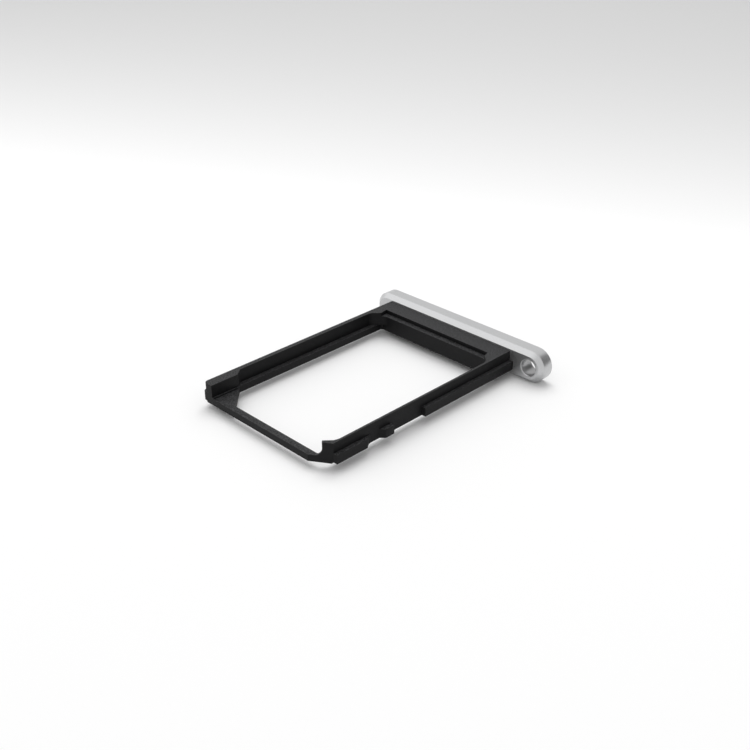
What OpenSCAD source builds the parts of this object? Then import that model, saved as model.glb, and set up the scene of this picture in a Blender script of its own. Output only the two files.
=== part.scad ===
// Card tray for the smallest size of phone card: a moulded frame and a metal end cap.
// Millimetres. Z is up, the cap end is towards +Y and the eject hole is on the +X side.
// The origin is under the middle of the whole tray, at the level of the underside of the cap.

/* [Card] */
// Width of the card that lies in the tray, along X
card_w = 8.8; // [6:0.1:12]
// Length of the card, along Y
card_l = 12.3; // [9:0.1:16]
// Free space on each long side of the card
card_side_gap = 0.05; // [0.02:0.01:0.3]
// Free space at the front end of the card
card_end_gap = 0.05; // [0.02:0.01:0.3]

/* [Frame] */
// Height of the walls
frame_h = 1.17; // [1:0.01:1.6]
// Thickness of the front bar and of the seats the card lies on
floor_t = 0.38; // [0.25:0.01:0.5]
// Thickness of the wall away from the eject hole
wall_far = 0.28; // [0.15:0.01:0.5]
// Thickness of the wall nearer the eject hole
wall_near = 0.13; // [0.1:0.01:0.5]
// Frame beyond the front end of the card
front_margin = 0.52; // [0.35:0.01:0.8]
// Solid bar between the card and the end cap
rear_bar = 1.41; // [1.2:0.01:2.5]
// Rounding of the upright corner at the front of the thick wall
corner_r = 0.22; // [0.05:0.01:0.35]
// Slanted front corner beside the thin wall, measured along X
slant_x = 1.09; // [0.7:0.01:1.4]
// Slanted front corner, measured along Y
slant_y = 0.7; // [0.3:0.01:0.9]

/* [Window] */
// Width of the seat along each side wall
seat_w = 0.33; // [0.2:0.01:0.5]
// Width of the front bar
front_bar = 0.4; // [0.3:0.01:0.6]
// Slanted seat under the cut corner of the card, measured along either edge
seat_cut = 1.46; // [0.8:0.01:2.2]
// Slanted seat behind the hook, measured along either edge
hook_cut = 0.39; // [0.1:0.01:0.45]
// Small slanted rear corners of the window
rear_cut = 0.1; // [0.05:0.01:0.3]

/* [Corner block] */
// How far the block stands in from the thick wall
block_in = 0.36; // [0.15:0.01:0.6]
// Length of the block from the front of the frame to its slanted end
block_l = 1.77; // [1:0.01:2.5]
// Length of the slanted end of the block
block_slant = 0.45; // [0.2:0.01:0.9]
// Width of the small step at the foot of the block
step_w = 0.11; // [0.05:0.01:0.2]
// Height of that step
step_h = 0.07; // [0.03:0.01:0.15]

/* [Hook] */
// How far the tip of the hook reaches in from the thin wall
hook_in = 0.47; // [0.35:0.01:0.7]
// How far behind its tip the hook bends into the wall
hook_bend = 0.43; // [0.3:0.01:0.6]
// Further length over which the bend runs out into the wall
hook_runout = 0.28; // [0.1:0.01:0.5]
// What is left of the reach of the hook where it bends
hook_shoulder = 0.08; // [0.03:0.01:0.15]
// Radius of the hollow foot between the hook and the front bar
foot_r = 0.38; // [0.2:0.01:0.5]

/* [Rear bar] */
// Depth of the stepped recess along the top of the rear bar
recess_deep = 0.23; // [0.1:0.01:0.35]
// Width of the recess, along Y
recess_w = 0.36; // [0.15:0.01:0.5]
// Slanted rear corner of the card space at the thick wall
corner_far = 0.64; // [0.4:0.01:0.9]
// Slanted rear corner of the card space at the thin wall
corner_near = 0.53; // [0.3:0.01:0.9]
// Radius that blends both slanted rear corners into the walls
corner_blend = 0.5; // [0.2:0.01:0.8]
// Start of the recess, from the thick wall
recess_far = 0.45; // [0.3:0.01:0.6]
// Slant of the ends of the recess, measured along X
recess_slant = 0.1; // [0.02:0.01:0.2]

/* [Side rails] */
// How far the rails stand out from the walls
rail_out = 0.26; // [0.1:0.01:0.4]
// Height of the underside of the rails above the underside of the frame
rail_low = 0.09; // [0.03:0.01:0.2]
// Height of the top of the rails above the underside of the frame
rail_top = 0.6; // [0.4:0.01:0.8]
// End of the front rail, from the front of the frame
front_rail_end = 2.79; // [2.2:0.01:3]
// Radius of the hollow run-out behind the front rail
run_out_r = 0.76; // [0.4:0.01:1]
// Front of the catch, from the front of the frame
catch_at = 4.09; // [4:0.01:5]
// Length of the catch
catch_l = 0.59; // [0.3:0.01:0.9]
// Start of the rear rail, from the front of the frame
rear_rail_at = 7; // [6:0.01:9]
// How far the rail on the thick wall stands out
far_rail_out = 0.15; // [0.05:0.01:0.4]
// Slanted lower edge of the thin wall, outside
lower_edge = 0.08; // [0.02:0.01:0.09]

/* [End cap] */
// Length of the cap, along X
cap_l = 12.82; // [12.5:0.01:16]
// Height of the cap, twice the radius of its round ends
cap_h = 1.9; // [1.7:0.01:2.4]
// Thickness of the cap, along Y
cap_t = 0.94; // [0.6:0.01:1.5]
// Slanted edge round the inner face of the cap
cap_edge = 0.26; // [0.05:0.01:0.4]
// Distance of the middle of the card from the middle of the cap, away from the eject hole
cap_offset = 0.43; // [0.3:0.01:0.5]
// Diameter of the eject hole
eject_d = 0.98; // [0.6:0.01:1.1]
// Slanted lip round the inner end of the eject hole
eject_lip = 0.03; // [0.02:0.01:0.1]

/* [Tongue] */
// Width of the tongue that holds the cap in the rear bar
tongue_w = 6; // [3:0.1:7]
// Height of the tongue
tongue_h = 0.46; // [0.3:0.01:0.5]
// Length of the tongue
tongue_l = 0.7; // [0.4:0.01:0.8]

/* [View] */
// Piece to draw

/* [Hidden] */
$fn = 64;
// How far a cutting shape runs past the surface it cuts
past = 1;
pocket_w = card_w + 2 * card_side_gap;
pocket_l = card_l + card_end_gap;
frame_l = front_margin + pocket_l + rear_bar;
y_front = -(frame_l + cap_t) / 2;
y_cap = y_front + frame_l;
y_pocket_front = y_front + front_margin;
y_pocket_back = y_pocket_front + pocket_l;
// X measured from the middle of the card
far_in = -pocket_w / 2;
far_out = far_in - wall_far;
near_in = pocket_w / 2;
near_out = near_in + wall_near;
// Height of the underside of the frame above the underside of the cap
frame_z = (cap_h - frame_h) / 2;
cap_r = cap_h / 2;
eject_x = cap_l / 2 - cap_r;
// Length that the blend of a slanted corner takes on each side of its edge
blend_l = corner_blend * tan(22.5);
// How far the circle of a blend crosses the faces it joins, so that it leaves no sliver there
blend_cross = 0.002;
// Length over which the hollow run-out brings the front rail back to the wall
run_out_l = sqrt(run_out_r * run_out_r - (run_out_r - rail_out) * (run_out_r - rail_out));
// The tongue lies midway between the underside of the rear bar and the floor of its recess
tongue_z = (frame_h - recess_deep - tongue_h) / 2;

// What is cut away to round the front corner of an outline that starts at the given X.
module corner_cut(edge) {
    difference() {
        translate([edge - past, y_front - past])
            square([corner_r + past, corner_r + past]);
        translate([edge + corner_r, y_front + corner_r])
            circle(r = corner_r);
    }
}

// Outline of the frame seen from above, with one rounded and one slanted front corner.
module frame_plan() {
    difference() {
        polygon([
            [far_out, y_front],
            [near_out - slant_x, y_front],
            [near_out, y_front + slant_y],
            [near_out, y_cap],
            [far_out, y_cap]
        ]);
        corner_cut(far_out);
    }
}

// Sharp tip beyond the circle of a blend, from the given turn on through an eighth of a circle.
module sharp_tip(x, y, turn) {
    reach = 2 * corner_blend;
    translate([x, y])
        rotate(turn)
            difference() {
                polygon([[0, 0], [reach, 0], [reach, reach]]);
                circle(r = corner_blend + blend_cross);
            }
}

// Space above the seats: the card lies here, and it is open to the front between block and hook.
module card_space_plan() {
    difference() {
        polygon([
            [far_in, y_front + block_l + block_slant],
            [far_in, y_pocket_back - corner_far],
            [far_in + corner_far, y_pocket_back],
            [near_in - corner_near, y_pocket_back],
            [near_in, y_pocket_back - corner_near],
            [near_in, y_pocket_front + hook_bend + hook_runout],
            [near_in - hook_shoulder, y_pocket_front + hook_bend],
            [near_in - hook_in, y_pocket_front],
            [near_in - hook_in + front_margin + past, y_front - past],
            [far_in + block_in, y_front - past],
            [far_in + block_in, y_front + block_l]
        ]);
        sharp_tip(far_in + corner_blend, y_pocket_back - corner_far - blend_l, 135);
        sharp_tip(far_in + corner_far + blend_l, y_pocket_back - corner_blend, 90);
        sharp_tip(near_in - corner_near - blend_l, y_pocket_back - corner_blend, 45);
        sharp_tip(near_in - corner_blend, y_pocket_back - corner_near - blend_l, 0);
    }
}

// Window through the floor, with slanted seats in its corners.
module window_plan() {
    window_far = far_in + seat_w;
    window_near = near_in - seat_w;
    window_front = y_front + front_bar;
    polygon([
        [window_far, window_front + seat_cut],
        [window_far, y_pocket_back - rear_cut],
        [window_far + rear_cut, y_pocket_back],
        [window_near - rear_cut, y_pocket_back],
        [window_near, y_pocket_back - rear_cut],
        [window_near, window_front + hook_cut],
        [window_near - hook_cut, window_front],
        [window_far + seat_cut, window_front]
    ]);
}

// Front rail, catch and rear rail on the thin wall. They start inside the wall so they grow from it.
module near_rails_plan() {
    root = near_out - wall_near / 2;
    edge = near_out + rail_out;
    difference() {
        translate([root, y_front + slant_y])
            square([edge - root, front_rail_end + run_out_l - slant_y]);
        translate([near_out + run_out_r, y_front + front_rail_end + run_out_l])
            circle(r = run_out_r);
    }
    polygon([
        [root, y_front + catch_at - rail_out],
        [near_out, y_front + catch_at - rail_out],
        [edge, y_front + catch_at],
        [edge, y_front + catch_at + catch_l],
        [root, y_front + catch_at + catch_l]
    ]);
    translate([root, y_front + rear_rail_at])
        square([edge - root, frame_l - rear_rail_at]);
}

// Plain rail on the thick wall, with a rounded front corner. It starts inside the floor.
module far_rail_plan() {
    edge = far_out - far_rail_out;
    difference() {
        translate([edge, y_front])
            square([far_rail_out + wall_far + seat_w / 2, frame_l]);
        corner_cut(edge);
    }
}

// Tongue of the cap; the frame is moulded round it, so the same shape is cut from the rear bar.
module tongue_shape(extra) {
    translate([-tongue_w / 2, y_cap - tongue_l, frame_z + tongue_z])
        cube([tongue_w, tongue_l + extra, tongue_h]);
}

// Hollow foot that brings the upright end of the hook down to the front bar.
module hook_foot() {
    foot_l = front_margin * 2;
    intersection() {
        linear_extrude(frame_h)
            frame_plan();
        translate([near_in - hook_in, y_pocket_front, floor_t])
            rotate([0, 0, -135])
                difference() {
                    translate([-floor_t / 4, 0, -floor_t / 4])
                        cube([foot_r + floor_t / 4, foot_l, foot_r + floor_t / 4]);
                    translate([foot_r, -past, foot_r])
                        rotate([-90, 0, 0])
                            cylinder(r = foot_r, h = foot_l + 2 * past);
                }
    }
}

// Small step that runs along the foot of the corner block, as far as the window leaves room for it.
module block_step() {
    difference() {
        translate([far_in + block_in / 2, y_front, floor_t / 2])
            cube([block_in / 2 + step_w, block_l, floor_t / 2 + step_h]);
        linear_extrude(frame_h)
            window_plan();
    }
}

// Recess along the top of the rear bar, open towards the card.
module rear_recess() {
    translate([0, 0, frame_h - recess_deep])
        linear_extrude(recess_deep + past)
            polygon([
                [far_in + recess_far, y_pocket_back - corner_far],
                [near_in - corner_near, y_pocket_back - corner_far],
                [near_in - corner_near, y_pocket_back],
                [near_in - corner_near - recess_slant, y_pocket_back + recess_w],
                [far_in + recess_far - recess_slant, y_pocket_back + recess_w],
                [far_in + recess_far, y_pocket_back - corner_far + recess_far]
            ]);
}

// What is cut away along the outside of the lower edge of the thin wall.
module lower_edge_cut() {
    translate([near_out, y_cap + past, 0])
        rotate([90, 0, 0])
            linear_extrude(frame_l + 2 * past)
                polygon([
                    [-lower_edge - past, -past],
                    [past, -past],
                    [past, lower_edge + past]
                ]);
}

// Block with the outline of the frame, and the rails on it.
module frame_block() {
    difference() {
        linear_extrude(frame_h)
            frame_plan();
        lower_edge_cut();
    }
    translate([0, 0, rail_low])
        linear_extrude(rail_top - rail_low) {
            near_rails_plan();
            far_rail_plan();
        }
}

// Card space above the floor and window through it. The slanted rear corners stand over the window.
module card_and_window_space() {
    translate([0, 0, floor_t])
        linear_extrude(frame_h)
            card_space_plan();
    translate([0, 0, -past])
        linear_extrude(past + floor_t)
            window_plan();
    translate([0, 0, -past])
        linear_extrude(past + frame_h)
            intersection() {
                window_plan();
                card_space_plan();
            }
}

// The moulded frame, one piece.
module tray_frame() {
    color([0.07, 0.07, 0.075])
        difference() {
            translate([-cap_offset, 0, frame_z]) {
                difference() {
                    frame_block();
                    card_and_window_space();
                    rear_recess();
                }
                hook_foot();
                block_step();
            }
            tongue_shape(past);
        }
}

// The metal end cap with its round ends, eject hole and tongue, one piece.
module end_cap() {
    color([0.78, 0.79, 0.8])
        difference() {
            union() {
                for (side = [-1, 1])
                    translate([side * eject_x, y_cap, cap_r])
                        rotate([-90, 0, 0]) {
                            translate([0, 0, cap_edge])
                                cylinder(r = cap_r, h = cap_t - cap_edge);
                            cylinder(r1 = cap_r - cap_edge, r2 = cap_r, h = cap_edge);
                        }
                translate([-eject_x, 0, cap_r])
                    rotate([90, 0, 90])
                        linear_extrude(2 * eject_x)
                            polygon([
                                [y_cap, cap_edge - cap_r],
                                [y_cap + cap_edge, -cap_r],
                                [y_cap + cap_t, -cap_r],
                                [y_cap + cap_t, cap_r],
                                [y_cap + cap_edge, cap_r],
                                [y_cap, cap_r - cap_edge]
                            ]);
                tongue_shape(cap_edge);
            }
            translate([eject_x, y_cap, cap_r])
                rotate([-90, 0, 0]) {
                    translate([0, 0, -past])
                        cylinder(d = eject_d, h = cap_t + 2 * past);
                    translate([0, 0, -eject_lip])
                        cylinder(d1 = eject_d + 4 * eject_lip, d2 = eject_d, h = 2 * eject_lip);
                }
        }
}

tray_frame();
end_cap();
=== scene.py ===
import math

import bpy
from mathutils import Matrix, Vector


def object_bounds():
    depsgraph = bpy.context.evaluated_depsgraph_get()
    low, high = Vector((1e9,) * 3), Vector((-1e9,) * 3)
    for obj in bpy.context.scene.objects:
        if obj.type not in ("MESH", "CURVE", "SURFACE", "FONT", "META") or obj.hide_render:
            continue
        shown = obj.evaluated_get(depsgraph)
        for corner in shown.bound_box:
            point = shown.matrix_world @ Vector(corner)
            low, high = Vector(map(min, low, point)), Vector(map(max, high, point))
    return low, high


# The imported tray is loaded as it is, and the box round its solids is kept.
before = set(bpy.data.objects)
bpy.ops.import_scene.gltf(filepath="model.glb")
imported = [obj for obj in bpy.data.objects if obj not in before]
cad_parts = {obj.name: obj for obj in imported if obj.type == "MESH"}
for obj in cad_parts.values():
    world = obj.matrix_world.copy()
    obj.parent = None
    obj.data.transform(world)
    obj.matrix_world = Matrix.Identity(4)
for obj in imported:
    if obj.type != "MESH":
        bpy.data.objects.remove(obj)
cad_low, cad_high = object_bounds()


# The frame is one injection-moulded piece of black plastic. The faces square to the opening of the
# mould keep its grain, and the faces along the opening were drawn nearly smooth. The upright faces
# are painted darker as painted shade, and the level faces paler as painted light. The outer edges
# have a tiny radius.
FRAME_EDGE_RADIUS = 0.000016
# Painted shade on the upright faces, with a slow random tone, and painted light on the level faces,
# mixed with their grain.
FRAME_SHADED_UPRIGHT_DARK = (0.0055, 0.0055, 0.006, 1)
FRAME_SHADED_UPRIGHT_PALE = (0.009, 0.009, 0.0095, 1)
FRAME_LIT_LEVEL_GRAIN_DARK = (0.009, 0.009, 0.0094, 1)
FRAME_LIT_LEVEL_GRAIN_PALE = (0.06, 0.06, 0.062, 1)
FRAME_UPRIGHT_BELOW = 0.5
FRAME_LEVEL_ABOVE = 0.9
FRAME_SMOOTHEST = 0.5
FRAME_ROUGHEST = 0.62
FRAME_SHEEN = 0.16
FRAME_GRAIN_SIZE = 0.00007
FRAME_GRAIN_HEIGHT = 0.000007
FRAME_EDGE_GRAIN_HEIGHT = FRAME_GRAIN_HEIGHT / 3
FRAME_GRAIN_STRENGTH = 0.8
FRAME_DRAWN_GRAIN_LEFT = 0.25
FRAME_CONTRAST_FROM = 0.35
FRAME_CONTRAST_TO = 0.65
FRAME_CLOUD_SIZE = 0.0025
GRAIN_PIT_SOFTNESS = 0.7
GRAIN_DETAIL = 3
GRAIN_ROUGHNESS = 0.6
GRAIN_NOISE_SHARE = 0.5
GRAIN_FINE_LOW = 0.3
GRAIN_FINE_HIGH = 0.7
CLOUD_DETAIL = 2
SEAM_GAP = 1e-7
FLAT_WITHIN = math.radians(1)
SHARP_FROM = math.radians(30)
EDGE_STEPS = 2


def node_at(tree, kind, x, y, **settings):
    """Adds a shader node at a place in its tree and sets its plain properties."""
    node = tree.nodes.new(kind)
    node.location = (x, y)
    for name, value in settings.items():
        setattr(node, name, value)
    return node


def surface_grain_group():
    """Grain of a moulded or blasted surface: its height, and slow and fine variation from 0 to 1."""
    group = bpy.data.node_groups.new("surface_grain", "ShaderNodeTree")
    for size in ("Grain Size", "Cloud Size"):
        group.interface.new_socket(size, in_out="INPUT", socket_type="NodeSocketFloat")
    for output in ("Height", "Fine", "Slow"):
        group.interface.new_socket(output, in_out="OUTPUT", socket_type="NodeSocketFloat")
    start = node_at(group, "NodeGroupInput", -900, 0)
    end = node_at(group, "NodeGroupOutput", 500, 0)
    place = node_at(group, "ShaderNodeTexCoord", -900, 300)
    grains = node_at(group, "ShaderNodeMath", -700, 60, operation="DIVIDE")
    grains.inputs[0].default_value = 1
    clouds = node_at(group, "ShaderNodeMath", -700, -200, operation="DIVIDE")
    clouds.inputs[0].default_value = 1
    pits = node_at(group, "ShaderNodeTexVoronoi", -450, 250, feature="SMOOTH_F1")
    pits.inputs["Smoothness"].default_value = GRAIN_PIT_SOFTNESS
    fine = node_at(group, "ShaderNodeTexNoise", -450, -20)
    fine.inputs["Detail"].default_value = GRAIN_DETAIL
    fine.inputs["Roughness"].default_value = GRAIN_ROUGHNESS
    slow = node_at(group, "ShaderNodeTexNoise", -450, -300)
    slow.inputs["Detail"].default_value = CLOUD_DETAIL
    both = node_at(group, "ShaderNodeMix", -150, 160, data_type="FLOAT")
    both.inputs["Factor"].default_value = GRAIN_NOISE_SHARE
    links = group.links
    links.new(start.outputs["Grain Size"], grains.inputs[1])
    links.new(start.outputs["Cloud Size"], clouds.inputs[1])
    for texture in (pits, fine, slow):
        links.new(place.outputs["Object"], texture.inputs["Vector"])
    links.new(grains.outputs[0], pits.inputs["Scale"])
    links.new(grains.outputs[0], fine.inputs["Scale"])
    links.new(clouds.outputs[0], slow.inputs["Scale"])
    links.new(pits.outputs["Distance"], both.inputs["A"])
    links.new(fine.outputs["Fac"], both.inputs["B"])
    links.new(both.outputs["Result"], end.inputs["Height"])
    links.new(fine.outputs["Fac"], end.inputs["Fine"])
    links.new(slow.outputs["Fac"], end.inputs["Slow"])
    return group


surface_grain = surface_grain_group()


def mix_colours(tree, factor, low, high, x, y):
    """A mix between two colours, or between two outputs, that a value from 0 to 1 drives."""
    mix = node_at(tree, "ShaderNodeMix", x, y, data_type="RGBA")
    for socket, colour in ((mix.inputs["A"], low), (mix.inputs["B"], high)):
        if isinstance(colour, tuple):
            socket.default_value = colour
        else:
            tree.links.new(colour, socket)
    tree.links.new(factor, mix.inputs["Factor"])
    return mix.outputs["Result"]


def spread(tree, value, start, stop, low, high, x, y):
    """Spreads the values between start and stop over a new range."""
    ranged = node_at(tree, "ShaderNodeMapRange", x, y, interpolation_type="SMOOTHSTEP")
    ranged.inputs["From Min"].default_value = start
    ranged.inputs["From Max"].default_value = stop
    ranged.inputs["To Min"].default_value = low
    ranged.inputs["To Max"].default_value = high
    tree.links.new(value, ranged.inputs["Value"])
    return ranged.outputs["Result"]


def moulded_skin_and_shade_group():
    """Skin of the moulding: grainy and painted paler as painted light square to the mould's opening,
    smooth and painted darker as painted shade along it.
    """
    group = bpy.data.node_groups.new("moulded_skin_and_shade", "ShaderNodeTree")
    group.interface.new_socket("Color", in_out="OUTPUT", socket_type="NodeSocketColor")
    group.interface.new_socket("Roughness", in_out="OUTPUT", socket_type="NodeSocketFloat")
    group.interface.new_socket("Height", in_out="OUTPUT", socket_type="NodeSocketFloat")
    end = node_at(group, "NodeGroupOutput", 700, 0)
    grain = node_at(group, "ShaderNodeGroup", -700, -100, node_tree=surface_grain)
    grain.inputs["Grain Size"].default_value = FRAME_GRAIN_SIZE
    grain.inputs["Cloud Size"].default_value = FRAME_CLOUD_SIZE
    place = node_at(group, "ShaderNodeTexCoord", -1100, 300)
    parts = node_at(group, "ShaderNodeSeparateXYZ", -900, 300)
    upward = node_at(group, "ShaderNodeMath", -700, 300, operation="ABSOLUTE")
    facing = upward.outputs[0]
    links = group.links
    links.new(place.outputs["Normal"], parts.inputs["Vector"])
    links.new(parts.outputs["Z"], upward.inputs[0])
    square = spread(group, facing, FRAME_UPRIGHT_BELOW, FRAME_LEVEL_ABOVE, 0, 1, -500, 300)
    keep = spread(
        group, facing, FRAME_UPRIGHT_BELOW, FRAME_LEVEL_ABOVE, FRAME_DRAWN_GRAIN_LEFT, 1, -500, 100
    )
    fine = grain.outputs["Fine"]
    contrast = spread(group, fine, FRAME_CONTRAST_FROM, FRAME_CONTRAST_TO, 0, 1, -500, -100)
    # Upright faces take the painted shade and level faces the painted light.
    shaded_drawn_sides = mix_colours(group, grain.outputs["Slow"], FRAME_SHADED_UPRIGHT_DARK, FRAME_SHADED_UPRIGHT_PALE, -250, 300)
    lit_grainy_level_faces = mix_colours(group, contrast, FRAME_LIT_LEVEL_GRAIN_DARK, FRAME_LIT_LEVEL_GRAIN_PALE, -250, 100)
    links.new(mix_colours(group, square, shaded_drawn_sides, lit_grainy_level_faces, 100, 200), end.inputs["Color"])
    rough = spread(
        group, fine, GRAIN_FINE_LOW, GRAIN_FINE_HIGH, FRAME_SMOOTHEST, FRAME_ROUGHEST, -250, -150
    )
    links.new(rough, end.inputs["Roughness"])
    height = node_at(group, "ShaderNodeMath", 100, -300, operation="MULTIPLY")
    links.new(grain.outputs["Height"], height.inputs[0])
    links.new(keep, height.inputs[1])
    links.new(height.outputs[0], end.inputs["Height"])
    return group


moulded_skin_and_shade = moulded_skin_and_shade_group()


def start_material(name):
    """A new material with only its output and shader."""
    material = bpy.data.materials.new(name)
    material.use_nodes = True
    tree = material.node_tree
    tree.nodes.clear()
    output = node_at(tree, "ShaderNodeOutputMaterial", 700, 0)
    shader = node_at(tree, "ShaderNodeBsdfPrincipled", 400, 0)
    tree.links.new(shader.outputs["BSDF"], output.inputs["Surface"])
    return material, tree, shader


def raise_grain(tree, shader, height, depth, strength):
    """Turns grain height into a bump of a real depth."""
    bump = node_at(tree, "ShaderNodeBump", 100, -300)
    bump.inputs["Strength"].default_value = strength
    bump.inputs["Distance"].default_value = depth
    tree.links.new(height, bump.inputs["Height"])
    tree.links.new(bump.outputs["Normal"], shader.inputs["Normal"])


def moulded_plastic(name, depth):
    """Black moulded plastic with a low sheen."""
    material, tree, shader = start_material(name)
    skin = node_at(tree, "ShaderNodeGroup", -300, 0, node_tree=moulded_skin_and_shade)
    tree.links.new(skin.outputs["Color"], shader.inputs["Base Color"])
    tree.links.new(skin.outputs["Roughness"], shader.inputs["Roughness"])
    shader.inputs["Specular IOR Level"].default_value = FRAME_SHEEN
    raise_grain(tree, shader, skin.outputs["Height"], depth, FRAME_GRAIN_STRENGTH)
    return material


def round_edges(piece, radius, edge_material):
    """Joins the faces of a solid, rounds its edges in their own material and evens the shading."""
    piece.data.materials.append(edge_material)
    weld = piece.modifiers.new("join_faces", "WELD")
    weld.merge_threshold = SEAM_GAP
    flat = piece.modifiers.new("whole_faces", "DECIMATE")
    flat.decimate_type = "DISSOLVE"
    flat.angle_limit = FLAT_WITHIN
    bevel = piece.modifiers.new("round_edges", "BEVEL")
    bevel.width = radius
    bevel.segments = EDGE_STEPS
    bevel.limit_method = "ANGLE"
    bevel.angle_limit = SHARP_FROM
    bevel.material = 1
    normals = piece.modifiers.new("even_shading", "WEIGHTED_NORMAL")
    normals.weight = 100


tray_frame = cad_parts["tray_frame"]
frame_plastic = moulded_plastic("moulded_plastic", FRAME_GRAIN_HEIGHT)
frame_plastic_edge = moulded_plastic("moulded_plastic_edge", FRAME_EDGE_GRAIN_HEIGHT)
tray_frame.data.materials[0] = frame_plastic
round_edges(tray_frame, FRAME_EDGE_RADIUS, frame_plastic_edge)


# The end cap is a bar of aluminium, milled to shape, blasted with fine beads and anodised clear.
# Its slanted inner edge and the eject hole are cut with the same tools. The wall of the hole is
# painted darker than the rest as painted shade, and darker still towards its outer end.
CAP_EDGE_RADIUS = 0.000009
CAP_COLOUR_DARK = (0.515, 0.518, 0.524, 1)
CAP_COLOUR_PALE = (0.545, 0.548, 0.554, 1)
CAP_METALLIC = 0.85
CAP_SMOOTHEST = 0.27
CAP_ROUGHEST = 0.35
CAP_EDGE_SMOOTHEST = 0.24
CAP_EDGE_ROUGHEST = 0.32
CAP_GRAIN_SIZE = 0.00004
CAP_GRAIN_HEIGHT = 0.0000006
CAP_GRAIN_STRENGTH = 0.5
CAP_CLOUD_SIZE = 0.003
# Painted shade on the wall of the eject hole, deeper towards its outer end.
HOLE_SHADE_MOUTH = (0.49, 0.49, 0.495, 1)
HOLE_SHADE_DEEP = (0.33, 0.33, 0.333, 1)
HOLE_PLACE = (0.00546, 0, 0.00095)
HOLE_RADIUS = 0.000525
HOLE_OUTSIDE_FROM = HOLE_RADIUS * 1.04
HOLE_MOUTH = 0.0067
HOLE_DEEP_FROM = 0.0074


def hole_shade_group():
    """Where a point lies in the eject hole, and how deep in it, both from 0 to 1."""
    group = bpy.data.node_groups.new("hole_shade", "ShaderNodeTree")
    group.interface.new_socket("Inside", in_out="OUTPUT", socket_type="NodeSocketFloat")
    group.interface.new_socket("Depth", in_out="OUTPUT", socket_type="NodeSocketFloat")
    end = node_at(group, "NodeGroupOutput", 300, 0)
    place = node_at(group, "ShaderNodeTexCoord", -700, 0)
    across = node_at(group, "ShaderNodeVectorMath", -500, 0, operation="MULTIPLY")
    across.inputs[1].default_value = (1, 0, 1)
    far = node_at(group, "ShaderNodeVectorMath", -300, 0, operation="DISTANCE")
    far.inputs[1].default_value = HOLE_PLACE
    parts = node_at(group, "ShaderNodeSeparateXYZ", -500, -250)
    group.links.new(place.outputs["Object"], across.inputs[0])
    group.links.new(across.outputs["Vector"], far.inputs[0])
    group.links.new(place.outputs["Object"], parts.inputs["Vector"])
    inside = spread(group, far.outputs["Value"], HOLE_RADIUS, HOLE_OUTSIDE_FROM, 1, 0, -100, 0)
    depth = spread(group, parts.outputs["Y"], HOLE_MOUTH, HOLE_DEEP_FROM, 0, 1, -100, -250)
    group.links.new(inside, end.inputs["Inside"])
    group.links.new(depth, end.inputs["Depth"])
    return group


hole_shade = hole_shade_group()


def blasted_metal(name, smoothest, roughest):
    """Blasted and anodised aluminium: soft reflections and a very fine grain, with painted shade in
    the hole.
    """
    material, tree, shader = start_material(name)
    grain = node_at(tree, "ShaderNodeGroup", -700, 0, node_tree=surface_grain)
    grain.inputs["Grain Size"].default_value = CAP_GRAIN_SIZE
    grain.inputs["Cloud Size"].default_value = CAP_CLOUD_SIZE
    hole = node_at(tree, "ShaderNodeGroup", -700, 300, node_tree=hole_shade)
    outside = mix_colours(tree, grain.outputs["Slow"], CAP_COLOUR_DARK, CAP_COLOUR_PALE, -400, 100)
    # Painted shade in the hole, deeper towards its outer end.
    inside = mix_colours(tree, hole.outputs["Depth"], HOLE_SHADE_MOUTH, HOLE_SHADE_DEEP, -400, 300)
    colour = mix_colours(tree, hole.outputs["Inside"], outside, inside, -100, 200)
    tree.links.new(colour, shader.inputs["Base Color"])
    fine = grain.outputs["Fine"]
    rough = spread(tree, fine, GRAIN_FINE_LOW, GRAIN_FINE_HIGH, smoothest, roughest, -100, -50)
    tree.links.new(rough, shader.inputs["Roughness"])
    shader.inputs["Metallic"].default_value = CAP_METALLIC
    raise_grain(tree, shader, grain.outputs["Height"], CAP_GRAIN_HEIGHT, CAP_GRAIN_STRENGTH)
    return material


end_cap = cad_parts["end_cap"]
cap_metal = blasted_metal("blasted_aluminium", CAP_SMOOTHEST, CAP_ROUGHEST)
cap_metal_edge = blasted_metal("aluminium_edge", CAP_EDGE_SMOOTHEST, CAP_EDGE_ROUGHEST)
end_cap.data.materials[0] = cap_metal
round_edges(end_cap, CAP_EDGE_RADIUS, cap_metal_edge)


# The tray lies on a wide sheet of board. It is white round the tray and farther back fades to a
# painted shade of pale grey, standing in for the light falling off on a sheet that curves up behind
# the tray.
BOARD_SIZE = 3
BOARD_WHITE = (0.985, 0.985, 0.985, 1)
BOARD_FAR_PAINTED_SHADE = (0.58, 0.58, 0.58, 1)
BOARD_BACKWARD = Vector((-0.456, 0.889, 0)).normalized()
BOARD_WHITE_TO = 0.028
BOARD_FADE_LENGTH = 0.035
BOARD_ROUGHNESS = 0.9
BOARD_SHEEN = 0.1

bpy.ops.mesh.primitive_plane_add(size=BOARD_SIZE, location=(0, 0, cad_low.z))
board = bpy.context.object
board.name = "white_board"
board_paper, paper_tree, paper = start_material("white_board")
where = node_at(paper_tree, "ShaderNodeTexCoord", -1100, 0)
backward = node_at(paper_tree, "ShaderNodeVectorMath", -900, 0, operation="DOT_PRODUCT")
backward.inputs[1].default_value = BOARD_BACKWARD
beyond = node_at(paper_tree, "ShaderNodeMath", -700, 0, operation="SUBTRACT", use_clamp=True)
beyond.inputs[1].default_value = BOARD_WHITE_TO
fades = node_at(paper_tree, "ShaderNodeMath", -500, 0, operation="DIVIDE")
fades.inputs[1].default_value = -BOARD_FADE_LENGTH
left = node_at(paper_tree, "ShaderNodeMath", -300, 0, operation="EXPONENT")
paper_tree.links.new(where.outputs["Object"], backward.inputs[0])
paper_tree.links.new(backward.outputs["Value"], beyond.inputs[0])
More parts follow.
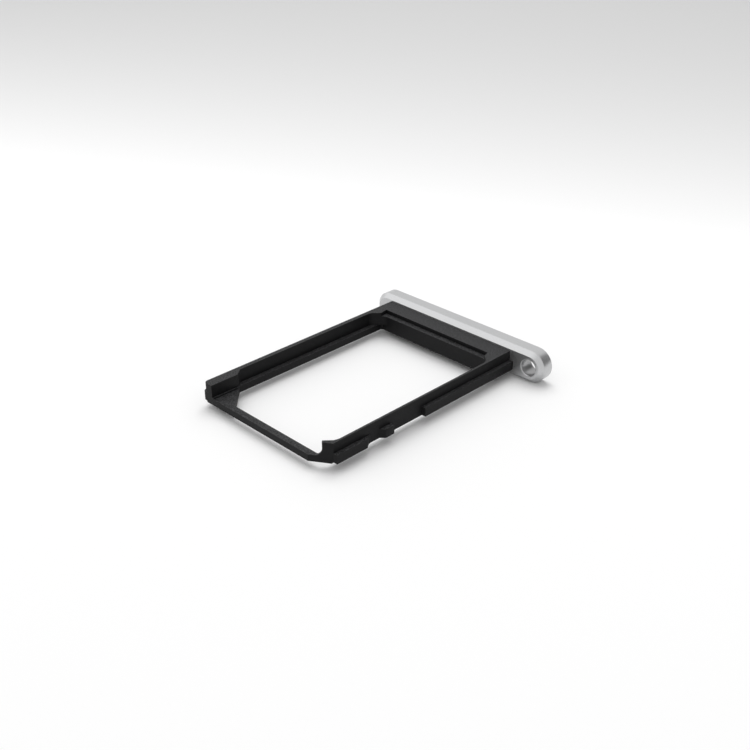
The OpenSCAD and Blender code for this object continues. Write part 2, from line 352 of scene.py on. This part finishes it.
paper_tree.links.new(beyond.outputs[0], fades.inputs[0])
paper_tree.links.new(fades.outputs[0], left.inputs[0])
# Painted shade: the board's colour fades to grey farther back.
paper_colour = mix_colours(paper_tree, left.outputs[0], BOARD_FAR_PAINTED_SHADE, BOARD_WHITE, -100, 100)
paper_tree.links.new(paper_colour, paper.inputs["Base Color"])
paper.inputs["Roughness"].default_value = BOARD_ROUGHNESS
paper.inputs["Specular IOR Level"].default_value = BOARD_SHEEN
board.data.materials.append(board_paper)


# Soft light: a room that is lighter to the left, and a large soft lamp high up at the back left.
# Camera and reflections see the pale studio itself instead, without the lamp: it is brightest at
# its front left, with a dark doorway at its back right.
ROOM_LIGHT_SIDE = Vector((-0.927, -0.114, 0.358)).normalized()
ROOM_LIGHT_LOW = 0.38
ROOM_LIGHT_HIGH = 0.83
STUDIO_BRIGHT_SIDE = Vector((-0.618, -0.483, 0.619)).normalized()
STUDIO_BRIGHT_FROM = 0.6
STUDIO_LOW = 0.94
STUDIO_HIGH = 1.42
DOORWAY_SIDE = Vector((0.75, 0.62, 0.2)).normalized()
DOORWAY_EDGE = 0.62
DOORWAY_INNER = 0.86
DOORWAY_LEVEL = 0.22
LAMP_SIZE = 0.225
LAMP_PLACE = Vector((-0.083, 0.083, 0.276))
LAMP_POWER = 0.42

world = bpy.data.worlds.new("pale_room")
bpy.context.scene.world = world
world.use_nodes = True
room = world.node_tree
room.nodes.clear()
direction = node_at(room, "ShaderNodeTexCoord", -900, 0)


def nearness(side, y):
    """How closely a direction in the room points at one side of it, from -1 to 1."""
    dot = node_at(room, "ShaderNodeVectorMath", -700, y, operation="DOT_PRODUCT")
    dot.inputs[1].default_value = side
    room.links.new(direction.outputs["Generated"], dot.inputs[0])
    return dot.outputs["Value"]


to_light = nearness(ROOM_LIGHT_SIDE, 300)
to_bright = nearness(STUDIO_BRIGHT_SIDE, 0)
to_doorway = nearness(DOORWAY_SIDE, -300)
glow = spread(room, to_light, -1, 1, ROOM_LIGHT_LOW, ROOM_LIGHT_HIGH, -500, 300)
walls = spread(room, to_bright, STUDIO_BRIGHT_FROM, 1, STUDIO_LOW, STUDIO_HIGH, -500, 0)
doorway = spread(room, to_doorway, DOORWAY_EDGE, DOORWAY_INNER, 1, DOORWAY_LEVEL, -500, -300)
studio = node_at(room, "ShaderNodeMath", -250, -100, operation="MULTIPLY")
ray = node_at(room, "ShaderNodeLightPath", -500, 700)
shown = node_at(room, "ShaderNodeMath", -250, 400, operation="MAXIMUM")
level = node_at(room, "ShaderNodeMix", 0, 100, data_type="FLOAT")
background = node_at(room, "ShaderNodeBackground", 200, 0)
background.inputs["Color"].default_value = (1, 1, 1, 1)
room_output = node_at(room, "ShaderNodeOutputWorld", 400, 0)
room.links.new(walls, studio.inputs[0])
room.links.new(doorway, studio.inputs[1])
room.links.new(ray.outputs["Is Camera Ray"], shown.inputs[0])
room.links.new(ray.outputs["Is Glossy Ray"], shown.inputs[1])
room.links.new(shown.outputs[0], level.inputs["Factor"])
room.links.new(glow, level.inputs["A"])
room.links.new(studio.outputs[0], level.inputs["B"])
room.links.new(level.outputs["Result"], background.inputs["Strength"])
room.links.new(background.outputs["Background"], room_output.inputs["Surface"])

lamp_data = bpy.data.lights.new("overhead_lamp", "AREA")
lamp_data.shape = "SQUARE"
lamp_data.size = LAMP_SIZE
lamp_data.energy = LAMP_POWER
lamp = bpy.data.objects.new("overhead_lamp", lamp_data)
lamp.location = LAMP_PLACE
lamp.rotation_euler = (-LAMP_PLACE).to_track_quat("-Z", "Y").to_euler()
lamp.visible_glossy = False
bpy.context.scene.collection.objects.link(lamp)


# The camera looks down over the eject hole end of the tray from its front right. Its azimuth is
# counted from the open front of the tray towards the side of the eject hole.
CAMERA_AIM = Vector((-0.00073, 0.000834, 0.000368))
CAMERA_DISTANCE = 0.0584
CAMERA_AZIMUTH = math.radians(44.8986)
CAMERA_ELEVATION = math.radians(28.937)
CAMERA_LENS = 50
CAMERA_SENSOR = 36
CAMERA_NEAREST = 0.001
CAMERA_FARTHEST = 10

camera_data = bpy.data.cameras.new("camera")
camera_data.lens = CAMERA_LENS
camera_data.sensor_width = CAMERA_SENSOR
camera_data.clip_start = CAMERA_NEAREST
camera_data.clip_end = CAMERA_FARTHEST
camera = bpy.data.objects.new("camera", camera_data)
level_part = math.cos(CAMERA_ELEVATION)
back = Vector((
    math.sin(CAMERA_AZIMUTH) * level_part,
    -math.cos(CAMERA_AZIMUTH) * level_part,
    math.sin(CAMERA_ELEVATION),
))
camera.location = CAMERA_AIM + back * CAMERA_DISTANCE
camera.rotation_euler = (-back).to_track_quat("-Z", "Y").to_euler()
bpy.context.scene.collection.objects.link(camera)
bpy.context.scene.camera = camera
bpy.context.scene.view_settings.view_transform = "Standard"
